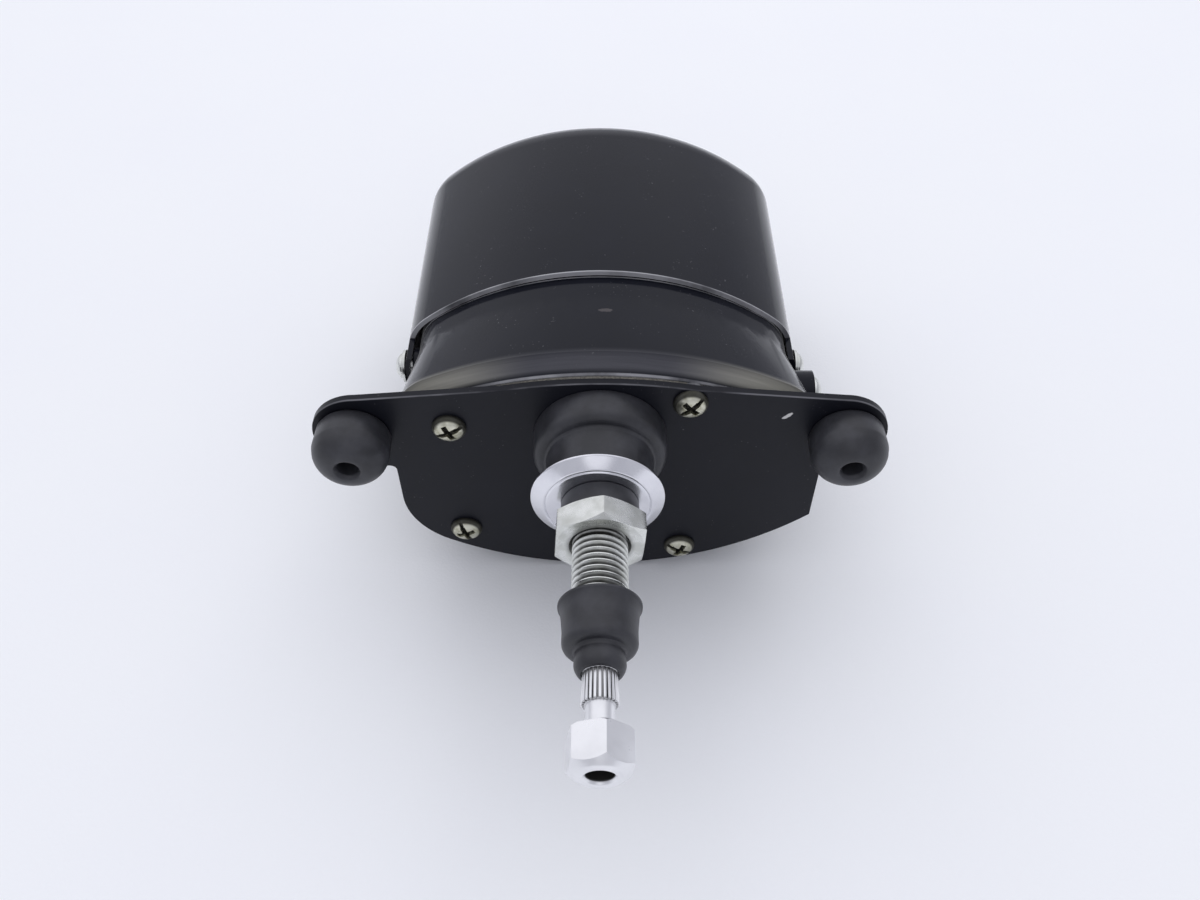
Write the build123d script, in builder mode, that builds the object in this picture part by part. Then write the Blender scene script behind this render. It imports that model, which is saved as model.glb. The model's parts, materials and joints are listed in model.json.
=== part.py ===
from build123d import *
from math import acos, atan2, cos, degrees, pi, radians, sin, sqrt, tan
import os

# Wiper motor, lying on its belly with the spindle pointing forward (-Y).
# Millimetres. +Z is up, +X is to the right seen from the front. The origin is on the spindle axis at the
# front face of the mounting plate. A "station" is a distance forward of that face, so behind it is negative.

# ---------------------------------------------------------------- clearances
running = 0.05          # shaft in a bearing, radial
seat_gap = 0.05         # pressed or screwed pieces, radial
end_float = 0.1         # between a turning piece and the face that stops it
slide_gap = 0.15        # rack in its guides
rubber_gap = 0.1        # rubber round metal

# ---------------------------------------------------------------- mounting plate and gasket
plate_thickness = 2.0
plate_left = 49.1
plate_right = 53.2
plate_crown = 17.1
plate_hump_radius = 112.0
plate_hump_half = 22.0
plate_belly = 51.0
belly_radius = 77.0
plate_corner = 20.0
ear_height = 0.6
ear_radius = 11.3
ear_neck = 2.3
ear_notch = 1.5
gasket_thickness = 0.8
gasket_inset = 0.3

# ---------------------------------------------------------------- gear case
case_depth = 33.2
case_wall = 2.4
case_back_wall = 2.6
case_crown = 21.0
case_belly = 50.4
case_left = 48.4
case_right = 51.4
case_waist_left = 45.8
case_waist_right = 47.2
case_waist_crown = 20.2
case_waist_depth = 24.0
case_shoulder_depth = 3.8
case_shoulder_drop = 3.8
case_crown_radius = 95.0
back_crown_radius = 70.0
crown_corner = 14.0
belly_corner = 20.0
post_radius = 3.6

# ---------------------------------------------------------------- cover
can_rim_depth = 33.0
can_end_room = 4.8
can_slip = 0.6
can_crown = 22.0
can_belly = 52.0
can_wall = 1.2
can_edge_radius = 14.0
lug_height = -5.0
lug_width = 11.0
lug_length = 7.8
lug_screw_inset = 4.4
lug_pad_radius = 4.5
lug_pad_gap = 0.9

# ---------------------------------------------------------------- screws
plate_screw_points = ((-34.8, 3.3), (20.4, 11.3), (-34.4, -35.0), (20.8, -42.4))
short_post_point = plate_screw_points[1]
plate_screw_radius = 2.0
plate_screw_head = 4.0
plate_screw_rise = 2.4
plate_screw_reach = 11.0
flank_screw_radius = 1.75
flank_screw_head = 3.2
flank_screw_rise = 2.2
flank_screw_reach = 8.0
flank_washer_radius = 4.2
flank_washer_thickness = 0.8
earth_screw_depth = 17.6
earth_screw_height = -3.5
earth_pad_radius = 5.5
earth_pad_rise = 0.6
slot_width = 1.0
slot_depth = 1.0
head_rounding = 0.55

# ---------------------------------------------------------------- rubber buffers in the ears
buffer_inset = 9.8
buffer_height = 1.0
buffer_radius = 8.9
buffer_rise = 11.8
buffer_dome = 5.8
buffer_neck = 4.0
buffer_lip = 3.0
buffer_lip_radius = 5.0
buffer_bevel = 1.0
buffer_bore = 2.4

# ---------------------------------------------------------------- threaded sleeve and what sits round it
sleeve_radius = 6.0
sleeve_bore = 4.5
sleeve_length = 52.0
sleeve_flange_radius = 10.0
sleeve_flange = 2.5
sleeve_spigot = 7.0
sleeve_chamfer = 0.8
bush_length = 11.0
foot_tier_radius = 15.5
foot_tier = 8.0
foot_tier_round = 2.6
upper_tier_radius = 11.8
upper_tier = 11.3
upper_tier_round = 1.2
dish_radius = 15.0
dish_thickness = 1.2
dish_flat_radius = 11.8
dish_slope = 1.4
dish_hole_gap = 0.7
dish_place = (-0.5, -0.4)
seal_radius = 8.7
seal_length = 5.1
seal_round = 0.5
sleeve_nut_flats = 19.0
sleeve_nut_length = 6.0
sleeve_nut_turn = 26.0
hex_chamfer = 0.9

# ---------------------------------------------------------------- spindle, its boot and its nut
spindle_radius = 3.7
sweep_angle = 105.0
washer_radius = 5.4
washer_thickness = 0.5
clip_radius = 5.0
clip_thickness = 0.9
clip_opening = 3.0
boot_station = 46.6
boot_rim_radius = 8.75
boot_waist_radius = 7.7
boot_length = 10.6
boot_round = 2.6
boot_nose_radius = 5.3
boot_nose = 5.2
boot_nose_round = 1.2
boot_cavity = 2.6
knurl_length = 6.6
knurl_teeth = 24
knurl_depth = 0.35
knurl_taper = 1.6
neck_radius = 2.95
neck_length = 5.4
stud_radius = 2.7
stud_length = 5.0
stud_bevel = 0.5
arm_nut_flats = 12.0
arm_nut_length = 8.8
arm_nut_turn = 20.0
arm_nut_face = 4.6
arm_nut_cone = 1.8

# ---------------------------------------------------------------- gear train
pressure_angle = radians(20.0)
tooth_addendum = 0.8
tooth_dedendum = 1.25
backlash = 0.12
motor_module = 0.6
motor_pinion_teeth = 9
motor_shift = 0.5
pinion_overlap = 0.5
idler_teeth = 60
drive_module = 0.8
idler_pinion_teeth = 11
drive_shift = 0.4
crank_teeth = 55
spindle_teeth = 16
rack_teeth = 9

motor_height = -15.0
crank_height = -24.0
rack_thickness = 5.0
rack_half_length = 36.0
rack_body = 4.6
yoke_wall = 4.0
crank_thickness = 6.0
idler_thickness = 5.0
layer_gap = 2.0
wheel_hub = 10.0
wheel_web = 2.4
wheel_rim = 2.6
spoke_count = 6
spoke_width = 2.4
axle_radius = 2.0
axle_nose = 1.0
crank_head_radius = 3.0
crank_head_bevel = 0.4
crank_pin_radius = 2.0
clip_recess = 2.0
clip_recess_radius = 3.7
axle_clip_radius = 3.5
yoke_play = 0.15
guide_station = 28.0
guide_width = 7.0
guide_wall = 2.4

# ---------------------------------------------------------------- motor
shaft_radius = 4.0
journal_radius = 3.5
shaft_bevel = 0.4
armature_radius = 22.5
armature_length = 28.0
winding_overhang = 5.0
winding_bevel = 2.0
slot_count = 10
slot_root = 11.0
slot_tip = 20.0
slot_mouth = 1.6
slot_floor = 3.2
slot_shoulder = 8.0
insulation = 0.15
commutator_radius = 9.0
commutator_length = 12.0
commutator_cut = 0.6
commutator_cut_depth = 1.2
riser_radius = 10.2
riser_length = 1.2
bearing_radius = 6.0
front_bearing_length = 10.0
rear_bearing_length = 8.0
hub_radius = 9.0
yoke_radius = 34.5
yoke_thickness = 3.0
yoke_length = 55.0
spigot_depth = 2.0
end_plate_thickness = 2.4
magnet_gap = 0.7
magnet_length = 34.0
magnet_span = 116.0
magnet_clearance = 0.2
clip_strip = 0.8
tie_bolt_spacing = 79.0
tie_bolt_radius = 2.0
tie_bolt_head = 3.6
tie_bolt_rise = 3.0
tie_boss = 4.8
tie_reach = 2.4
tie_pad_radius = 4.8
brush_plate_depth = 4.0
brush_plate_thickness = 1.6
brush_plate_radius = 31.0
brush_plate_hole = 10.8
brush_width = 6.0
brush_height = 7.0
brush_length = 11.0
brush_wall = 0.9
brush_holder_length = 18.0
holder_near = 11.4
brush_spring_radius = 2.4
brush_spring_wall = 0.7

# ---------------------------------------------------------------- lead outlet
grommet_place = (22.0, -28.0)
grommet_radius = 5.5
grommet_neck = 4.0
grommet_bore = 2.5
grommet_lip = 1.5

# ---------------------------------------------------------------- stations worked out from the sizes above
plate_back = -plate_thickness
case_front = plate_back - gasket_thickness
case_shoulder = case_front - case_shoulder_depth
case_waist = case_front - case_waist_depth
case_back = case_front - case_depth
case_floor = case_back + case_back_wall
can_rim = -can_rim_depth
lug_screw_station = can_rim + lug_screw_inset

foot_top = foot_tier
bush_top = foot_tier + upper_tier
dish_top = bush_top + dish_thickness
nut_base = dish_top + seal_length
sleeve_end = sleeve_length
knurl_base = boot_station + boot_length + boot_nose
neck_base = knurl_base + knurl_length
arm_nut_base = neck_base + neck_length

pinion_front = plate_back - washer_thickness - 2 * end_float
rack_front = plate_back - slide_gap
rack_back = rack_front - rack_thickness
crank_front = rack_back - layer_gap
crank_back = crank_front - crank_thickness
idler_front = crank_back - layer_gap
idler_back = idler_front - idler_thickness
bearing_back = case_back - spigot_depth
bearing_front = bearing_back + front_bearing_length
shoulder_front = bearing_back - washer_thickness - 2 * end_float
yoke_back = case_back - yoke_length
end_plate_back = yoke_back - end_plate_thickness
rear_bearing_back = yoke_back - rear_bearing_length
can_back = rear_bearing_back - can_end_room - can_wall
can_length = can_rim - can_back
can_half_width = case_waist_right + can_slip + can_wall
earth_pad_reach = case_right + earth_pad_rise
shoulder_back = yoke_back + washer_thickness + 2 * end_float
armature_middle = (shoulder_front + shoulder_back) / 2 - commutator_length / 2
core_front = armature_middle + armature_length / 2
core_back = armature_middle - armature_length / 2
brush_plate_front = case_back - brush_plate_depth
brush_plate_back = brush_plate_front - brush_plate_thickness

# ---------------------------------------------------------------- places of the axes, seen from the front
motor_axis = (0.0, motor_height)
crank_axis = (0.0, crank_height)
motor_step = motor_module * (motor_pinion_teeth + idler_teeth) / 2
drive_step = drive_module * (idler_pinion_teeth + crank_teeth) / 2
axis_drop = motor_height - crank_height
idler_fall = (motor_step ** 2 - drive_step ** 2 + axis_drop ** 2) / (2 * axis_drop)
idler_axis = (sqrt(motor_step ** 2 - idler_fall ** 2), motor_height - idler_fall)
spindle_pitch_radius = drive_module * spindle_teeth / 2
crank_throw = spindle_pitch_radius * radians(sweep_angle / 2)
# The rack follows the crank at an even rate here, so the slot gives the crank head the room by which a sine
# and a straight line of the same ends differ at most.
slot_ease = max(sin(radians(turn)) - turn / 90 for turn in range(91)) * crank_throw
yoke_slot_half = crank_head_radius + slot_ease + yoke_play
yoke_slot_reach = crank_throw + crank_head_radius + 2 * yoke_play
ear_reach = plate_right + ear_neck + ear_radius
buffer_reach = ear_reach - buffer_inset
buffer_points = ((-buffer_reach, buffer_height), (buffer_reach, buffer_height))
tie_bolt_points = ((-tie_bolt_spacing / 2, motor_height), (tie_bolt_spacing / 2, motor_height))


# ---------------------------------------------------------------- planes and shared shapes
def across(station):
    """Plane square to the spindle: local x is right, local y is up, and it faces forward."""
    return Plane(origin=(0, -station, 0), x_dir=(1, 0, 0), z_dir=(0, -1, 0))


def flank(side, reach):
    """Upright plane facing left (-1) or right (+1): local x is side * (-station), local y is up."""
    return Plane(origin=(side * reach, 0, 0), x_dir=(0, side, 0), z_dir=(side, 0, 0))


def disc(back, front, radius, *places, mode=Mode.ADD):
    """Cylinder between two stations, one at each place given, or one on the spindle axis."""
    with BuildSketch(across(back)) as profile:
        with Locations(*(places or ((0, 0),))):
            Circle(radius)
    extrude(profile.sketch, amount=front - back, mode=mode)


def flank_disc(side, inner, outer, radius, station, height, mode=Mode.ADD):
    """Cylinder along X between two reaches from the middle plane."""
    with BuildSketch(flank(side, inner)) as profile:
        with Locations((-side * station, height)):
            Circle(radius)
    extrude(profile.sketch, amount=outer - inner, mode=mode)


def turned(outline, place=(0.0, 0.0), mode=Mode.ADD):
    """Revolve a closed outline of (radius, station) points about an axis along the spindle."""
    with BuildSketch(Plane(origin=(place[0], 0, place[1]), x_dir=(1, 0, 0), z_dir=(0, 0, -1))) as profile:
        Polygon(*outline, align=None)
    revolve(profile.sketch, axis=Axis((place[0], 0, place[1]), (0, -1, 0)), mode=mode)


def oval(left, right, crown, belly, crown_radius, inset=0.0):
    """Section of the housing: arched crown, upright flanks, round belly."""
    west, east = inset - left, right - inset
    top, bottom = crown - inset, inset - belly
    west_shoulder = top - sagitta(crown_radius - inset, west)
    east_shoulder = top - sagitta(crown_radius - inset, east)
    west_foot = bottom + sagitta(belly_radius - inset, west)
    east_foot = bottom + sagitta(belly_radius - inset, east)
    with BuildSketch(mode=Mode.PRIVATE) as section:
        with BuildLine():
            ThreePointArc((west, west_shoulder), (0, top), (east, east_shoulder))
            Line((east, east_shoulder), (east, east_foot))
            ThreePointArc((east, east_foot), (0, bottom), (west, west_foot))
            Line((west, west_foot), (west, west_shoulder))
        make_face()
        fillet([corner_near(section, west, west_shoulder), corner_near(section, east, east_shoulder)],
               crown_corner - inset)
        fillet([corner_near(section, west, west_foot), corner_near(section, east, east_foot)],
               belly_corner - inset)
    return section.sketch


def sagitta(radius, half_chord):
    """Depth of an arc of this radius over this half chord."""
    return radius - sqrt(radius ** 2 - half_chord ** 2)


def corner_near(sketch, x, y):
    """The sketch's corner closest to a point."""
    return sketch.vertices().sort_by_distance((x, y, 0))[0]


def involute(angle):
    return tan(angle) - angle


def gear_outline(teeth, module, shift, tooth_angle, flank_steps):
    """Points round an external gear with one tooth centred on tooth_angle."""
    pitch = teeth * module / 2
    base = pitch * cos(pressure_angle)
    tip = pitch + (tooth_addendum + shift) * module
    root = pitch + (shift - tooth_dedendum) * module
    half_tooth = (pi / 2 + 2 * shift * tan(pressure_angle)) / teeth - backlash / (4 * pitch)
    start = max(base, root)
    radii = [start + (tip - start) * step / flank_steps for step in range(flank_steps + 1)]
    rising = [(radius, half_tooth + involute(pressure_angle) - involute(acos(base / radius)))
              for radius in radii]
    if root < base:
        rising.insert(0, (root, rising[0][1]))
    points = []
    for tooth in range(teeth):
        middle = tooth_angle + 2 * pi * tooth / teeth
        polar = [(radius, middle - half) for radius, half in rising]
        polar += [(radius, middle + half) for radius, half in reversed(rising)]
        points += [(radius * cos(angle), radius * sin(angle)) for radius, angle in polar]
    return points


def gear(back, front, place, teeth, module, shift, tooth_angle, flank_steps=3):
    """Gear blank with its teeth, between two stations."""
    with BuildSketch(across(back)) as profile:
        with Locations(place):
            Polygon(*gear_outline(teeth, module, shift, tooth_angle, flank_steps), align=None)
    extrude(profile.sketch, amount=front - back)


def hexagon(back, front, flats, turn):
    """Hexagon bar between two stations."""
    with BuildSketch(across(back)) as profile:
        RegularPolygon(radius=flats / 2, side_count=6, major_radius=False, rotation=turn)
    extrude(profile.sketch, amount=front - back)


def pan_head(plane, radius, rise, *places):
    """Rounded screw heads standing on a plane, each with a slot and a cross."""
    with BuildSketch(plane) as heads:
        with Locations(*places):
            Circle(radius)
    extrude(heads.sketch, amount=rise)
    crowns = faces(Select.LAST).group_by(Axis(plane.origin, plane.z_dir))[-1]
    fillet([edge for crown in crowns for edge in crown.edges()], rise * head_rounding)
    with BuildSketch(plane.offset(rise)) as slots:
        with Locations(*places):
            Rectangle(2 * radius, slot_width)
            Rectangle(slot_width, radius)
    extrude(slots.sketch, amount=-slot_depth, mode=Mode.SUBTRACT)


def finish(builder, label):
    """Name a finished piece and write its file."""
    builder.part.label = label
    export_step(builder.part, f"parts/{label}.step")


os.makedirs("parts", exist_ok=True)

# ================================================================ housing
with BuildPart() as mounting_plate:
    ear_middle = ear_reach - ear_radius
    ear_top = ear_height + ear_radius
    ear_foot = ear_height - ear_radius
    hump_foot = plate_crown - sagitta(plate_hump_radius, plate_hump_half)
    left_foot = sagitta(belly_radius, plate_left) - plate_belly
    right_foot = sagitta(belly_radius, plate_right) - plate_belly
    with BuildSketch(across(plate_back)) as plate_face:
        with BuildLine():
            ThreePointArc((-ear_middle, ear_top), (-ear_reach, ear_height), (-ear_middle, ear_foot))
            Line((-ear_middle, ear_foot), (-plate_left, ear_foot))
            Line((-plate_left, ear_foot), (-plate_left, left_foot))
            ThreePointArc((-plate_left, left_foot), (0, -plate_belly), (plate_right, right_foot))
            Line((plate_right, right_foot), (plate_right, ear_foot))
            Line((plate_right, ear_foot), (ear_middle, ear_foot))
            ThreePointArc((ear_middle, ear_foot), (ear_reach, ear_height), (ear_middle, ear_top))
            Line((ear_middle, ear_top), (plate_hump_half, hump_foot))
            ThreePointArc((plate_hump_half, hump_foot), (0, plate_crown), (-plate_hump_half, hump_foot))
            Line((-plate_hump_half, hump_foot), (-ear_middle, ear_top))
        make_face()
        notches = [corner_near(plate_face, side, ear_foot) for side in (-plate_left, plate_right)]
        fillet(notches, ear_notch)
        fillet(corner_near(plate_face, -plate_left, left_foot), plate_corner)
    extrude(amount=plate_thickness)
    disc(plate_back, 0, sleeve_spigot + seat_gap, mode=Mode.SUBTRACT)
    disc(plate_back, 0, plate_screw_radius + seat_gap, *plate_screw_points, mode=Mode.SUBTRACT)
    disc(plate_back, 0, buffer_neck + rubber_gap, *buffer_points, mode=Mode.SUBTRACT)
finish(mounting_plate, "mounting_plate")


def case_sections(inset, back_station):
    """Four ovals of the case, from its back to its front."""
    waist = (case_waist_left, case_waist_right, case_waist_crown, case_belly, back_crown_radius, inset)
    front = (case_left, case_right, case_crown, case_belly, case_crown_radius, inset)
    lip = (case_left, case_right, case_crown - case_shoulder_drop, case_belly, case_crown_radius, inset)
    sections = []
    stations = (back_station, case_waist, case_shoulder, case_front)
    for station, sizes in zip(stations, (waist, waist, front, lip)):
        with BuildSketch(across(station)) as section:
            add(oval(*sizes))
        sections.append(section.sketch)
    return sections


with BuildPart() as gear_case:
    loft(case_sections(0.0, case_back), ruled=True)
    loft(case_sections(case_wall, case_floor), ruled=True, mode=Mode.SUBTRACT)
    # screw posts: three stand on the back wall, the fourth hangs under the crown clear of the idler wheel
    long_posts = [point for point in plate_screw_points if point != short_post_point]
    disc(case_floor, plate_back, post_radius, *long_posts)
    disc(case_front - plate_screw_reach - case_wall, plate_back, post_radius, short_post_point)
    # hubs for the motor shaft and the two axles, and bosses for the tie bolts
    disc(case_back, bearing_front, hub_radius, motor_axis)
    disc(bearing_back, case_back, yoke_radius - yoke_thickness - seat_gap, motor_axis)
    disc(case_floor, crank_back - end_float, post_radius, crank_axis)
    disc(case_floor, idler_back - end_float, post_radius, idler_axis)
    disc(case_floor, case_floor + tie_boss, post_radius, *tie_bolt_points)
    # flank pads for the cover screws and the earth screw
    flank_disc(-1, case_waist_left - case_wall, can_half_width - can_wall - lug_pad_gap, lug_pad_radius,
               lug_screw_station, lug_height)
    flank_disc(1, case_waist_right - case_wall, earth_pad_reach, earth_pad_radius,
               -earth_screw_depth, earth_screw_height)
    # bores
    disc(bearing_back, bearing_front, bearing_radius + seat_gap, motor_axis, mode=Mode.SUBTRACT)
    disc(case_back, crank_front, axle_radius + seat_gap, crank_axis, idler_axis, mode=Mode.SUBTRACT)
    disc(case_back, case_floor + tie_boss, tie_bolt_radius + seat_gap, *tie_bolt_points, mode=Mode.SUBTRACT)
    disc(case_front - plate_screw_reach, plate_back, plate_screw_radius + seat_gap, *plate_screw_points,
         mode=Mode.SUBTRACT)
    for side in (-1, 1):
        flank_disc(side, can_half_width - flank_screw_reach, can_half_width, flank_screw_radius + seat_gap,
                   lug_screw_station, lug_height, mode=Mode.SUBTRACT)
    flank_disc(1, earth_pad_reach - flank_screw_reach, earth_pad_reach, flank_screw_radius + seat_gap,
               -earth_screw_depth, earth_screw_height, mode=Mode.SUBTRACT)
finish(gear_case, "gear_case")

with BuildPart() as case_gasket:
    lip_oval = (case_left, case_right, case_crown - case_shoulder_drop, case_belly, case_crown_radius)
    with BuildSketch(across(case_front)):
        add(oval(*lip_oval, gasket_inset))
        add(oval(*lip_oval, case_wall), mode=Mode.SUBTRACT)
        with Locations(*plate_screw_points):
            Circle(post_radius + seat_gap, mode=Mode.SUBTRACT)
    extrude(amount=gasket_thickness)
finish(case_gasket, "case_gasket")

with BuildPart() as motor_can:
    can_oval = (can_half_width, can_half_width, can_crown, can_belly, back_crown_radius)
    with BuildSketch(across(can_back)):
        add(oval(*can_oval))
    extrude(amount=can_length)
    fillet(motor_can.edges().group_by(Axis.Y)[-1], can_edge_radius)
    offset(amount=-can_wall, openings=motor_can.faces().sort_by(Axis.Y)[0])
    with BuildSketch(across(can_rim)):
        with Locations((-can_half_width, lug_height), (can_half_width, lug_height)):
            Rectangle(4 * can_wall, lug_width)
        add(oval(*can_oval), mode=Mode.INTERSECT)
        add(oval(*can_oval, can_wall), mode=Mode.SUBTRACT)
    extrude(amount=lug_length)
    for side in (-1, 1):
        flank_disc(side, can_half_width - 3 * can_wall, can_half_width + can_wall,
                   flank_screw_radius + 2 * seat_gap, lug_screw_station, lug_height, mode=Mode.SUBTRACT)
    disc(can_back - can_wall, can_back + 2 * can_wall, grommet_neck + rubber_gap, grommet_place,
         mode=Mode.SUBTRACT)
finish(motor_can, "motor_can")

# ================================================================ screws
with BuildPart() as plate_screws:
    pan_head(across(0), plate_screw_head, plate_screw_rise, *plate_screw_points)
    disc(case_front - plate_screw_reach + plate_screw_radius, 0, plate_screw_radius, *plate_screw_points)
finish(plate_screws, "plate_screws")

lug_face = can_half_width + flank_washer_thickness
with BuildPart() as can_screws:
    for side in (-1, 1):
        pan_head(flank(side, lug_face), flank_screw_head, flank_screw_rise,
                 (-side * lug_screw_station, lug_height))
        flank_disc(side, lug_face - flank_screw_reach, lug_face, flank_screw_radius,
                   lug_screw_station, lug_height)
finish(can_screws, "can_screws")

with BuildPart() as can_screw_washers:
    for side in (-1, 1):
        with BuildSketch(flank(side, can_half_width)):
            with Locations((-side * lug_screw_station, lug_height)):
                Circle(flank_washer_radius)
                Circle(flank_screw_radius + seat_gap, mode=Mode.SUBTRACT)
        extrude(amount=flank_washer_thickness)
finish(can_screw_washers, "can_screw_washers")

with BuildPart() as earth_screw:
    pan_head(flank(1, earth_pad_reach), flank_screw_head, flank_screw_rise,
             (earth_screw_depth, earth_screw_height))
    flank_disc(1, earth_pad_reach - flank_screw_reach + flank_screw_radius, earth_pad_reach,
               flank_screw_radius, -earth_screw_depth, earth_screw_height)
finish(earth_screw, "earth_screw")

# ================================================================ rubber buffers
for name, place in zip(("buffer_left", "buffer_right"), buffer_points):
    with BuildPart() as buffer:
        disc(0, buffer_rise, buffer_radius, place)
        fillet(buffer.edges().group_by(Axis.Y)[0], buffer_dome)
        disc(plate_back, 0, buffer_neck, place)
        disc(plate_back - buffer_lip, plate_back, buffer_lip_radius, place)
        chamfer(buffer.edges().group_by(Axis.Y)[-1], buffer_bevel)
        disc(plate_back - buffer_lip, buffer_rise, buffer_bore, place, mode=Mode.SUBTRACT)
    finish(buffer, name)

# ================================================================ sleeve and what sits round it
with BuildPart() as threaded_sleeve:
    disc(plate_back, sleeve_end, sleeve_radius)
    chamfer(threaded_sleeve.edges().group_by(Axis.Y)[0], sleeve_chamfer)
    disc(plate_back, 0, sleeve_spigot)
    disc(0, sleeve_flange, sleeve_flange_radius)
    disc(plate_back, sleeve_end, sleeve_bore, mode=Mode.SUBTRACT)
finish(threaded_sleeve, "threaded_sleeve")

with BuildPart() as sleeve_bushes:
    for bush_back in (plate_back, sleeve_end - bush_length):
        disc(bush_back, bush_back + bush_length, sleeve_bore)
        disc(bush_back, bush_back + bush_length, spindle_radius + running, mode=Mode.SUBTRACT)
finish(sleeve_bushes, "sleeve_bushes")

with BuildPart() as stepped_bush:
    disc(0, foot_top, foot_tier_radius)
    fillet(stepped_bush.edges().group_by(Axis.Y)[0], foot_tier_round)
    disc(foot_top, bush_top, upper_tier_radius)
    fillet(stepped_bush.edges().group_by(Axis.Y)[0], upper_tier_round)
    disc(0, sleeve_flange, sleeve_flange_radius + rubber_gap, mode=Mode.SUBTRACT)
    disc(0, bush_top, sleeve_radius + rubber_gap, mode=Mode.SUBTRACT)
finish(stepped_bush, "stepped_bush")

with BuildPart() as dished_washer:
    turned(((0, bush_top), (dish_flat_radius, bush_top), (dish_radius, bush_top - dish_slope),
            (dish_radius, dish_top - dish_slope), (dish_flat_radius, dish_top), (0, dish_top)), dish_place)
    disc(bush_top, dish_top, sleeve_radius + dish_hole_gap, dish_place, mode=Mode.SUBTRACT)
finish(dished_washer, "dished_washer")

with BuildPart() as seal_ring:
    disc(dish_top, nut_base, seal_radius)
    fillet(seal_ring.edges(), seal_round)
    disc(dish_top, nut_base, sleeve_radius + rubber_gap, mode=Mode.SUBTRACT)
finish(seal_ring, "seal_ring")

with BuildPart() as sleeve_nut:
    nut_corner = sleeve_nut_flats / sqrt(3)
    nut_face = nut_corner - sqrt(3) * hex_chamfer
    nut_top = nut_base + sleeve_nut_length
    hexagon(nut_base, nut_top, sleeve_nut_flats, sleeve_nut_turn)
    turned(((0, nut_base), (nut_face, nut_base), (nut_corner, nut_base + hex_chamfer),
            (nut_corner, nut_top - hex_chamfer), (nut_face, nut_top), (0, nut_top)), mode=Mode.INTERSECT)
    disc(nut_base, nut_top, sleeve_radius + seat_gap, mode=Mode.SUBTRACT)
finish(sleeve_nut, "sleeve_nut")

# ================================================================ boot, spindle and arm nut
boot_top = boot_station + boot_length
with BuildPart() as spindle_boot:
    turned(((0, boot_station), (boot_rim_radius, boot_station),
            (boot_waist_radius, boot_top), (0, boot_top)))
    fillet(spindle_boot.edges().group_by(Axis.Y)[0], boot_round)
    disc(boot_top, knurl_base, boot_nose_radius)
    fillet(spindle_boot.edges().group_by(Axis.Y)[0], boot_nose_round)
    disc(boot_station, sleeve_end, sleeve_radius + rubber_gap, mode=Mode.SUBTRACT)
    disc(sleeve_end, sleeve_end + boot_cavity, washer_radius + rubber_gap, mode=Mode.SUBTRACT)
    disc(sleeve_end, knurl_base, spindle_radius + rubber_gap, mode=Mode.SUBTRACT)
finish(spindle_boot, "spindle_boot")

pinion_back = rack_back
spindle_tail = pinion_back - axle_nose
with BuildPart() as spindle:
    disc(spindle_tail, knurl_base, spindle_radius)
    with BuildSketch(across(knurl_base)):
        ridges = [(spindle_radius - knurl_depth * (step % 2), pi * step / knurl_teeth)
                  for step in range(2 * knurl_teeth)]
        Polygon(*((radius * cos(angle), radius * sin(angle)) for radius, angle in ridges), align=None)
    extrude(amount=knurl_length, taper=knurl_taper)
    disc(neck_base, arm_nut_base, neck_radius)
    disc(arm_nut_base, arm_nut_base + stud_length, stud_radius)
    chamfer(spindle.edges().group_by(Axis.Y)[0], stud_bevel)
finish(spindle, "spindle")

with BuildPart() as arm_nut:
    arm_nut_top = arm_nut_base + arm_nut_length
    arm_nut_corner = arm_nut_flats / sqrt(3)
    hexagon(arm_nut_base, arm_nut_top, arm_nut_flats, arm_nut_turn)
    turned(((0, arm_nut_base), (arm_nut_corner, arm_nut_base), (arm_nut_corner, arm_nut_top - arm_nut_cone),
            (arm_nut_face, arm_nut_top), (0, arm_nut_top)), mode=Mode.INTERSECT)
    disc(arm_nut_base, arm_nut_top, stud_radius + seat_gap, mode=Mode.SUBTRACT)
finish(arm_nut, "arm_nut")

with BuildPart() as spindle_washers:
    for face in (plate_back - end_float - washer_thickness, sleeve_end + end_float):
        disc(face, face + washer_thickness, washer_radius)
        disc(face, face + washer_thickness, spindle_radius + seat_gap, mode=Mode.SUBTRACT)
finish(spindle_washers, "spindle_washers")


def open_clip(back, front, outer, inner, place=(0.0, 0.0)):
    """Spring clip: a ring with a mouth that opens downwards."""
    with BuildSketch(across(back)) as profile:
        with Locations(place):
            Circle(outer)
            Circle(inner, mode=Mode.SUBTRACT)
        with Locations((place[0], place[1] - outer)):
            Rectangle(clip_opening, 2 * outer, mode=Mode.SUBTRACT)
    extrude(profile.sketch, amount=front - back)


with BuildPart() as spindle_clip:
    clip_back = sleeve_end + 2 * end_float + washer_thickness
    open_clip(clip_back, clip_back + clip_thickness, clip_radius, spindle_radius + seat_gap)
finish(spindle_clip, "spindle_clip")

# ================================================================ gear train, from the spindle back
with BuildPart() as spindle_pinion:
    gear(pinion_back, pinion_front, (0, 0), spindle_teeth, drive_module, 0.0, -pi / 2)
    disc(pinion_back, pinion_front, spindle_radius + seat_gap, mode=Mode.SUBTRACT)
finish(spindle_pinion, "spindle_pinion")

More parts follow.
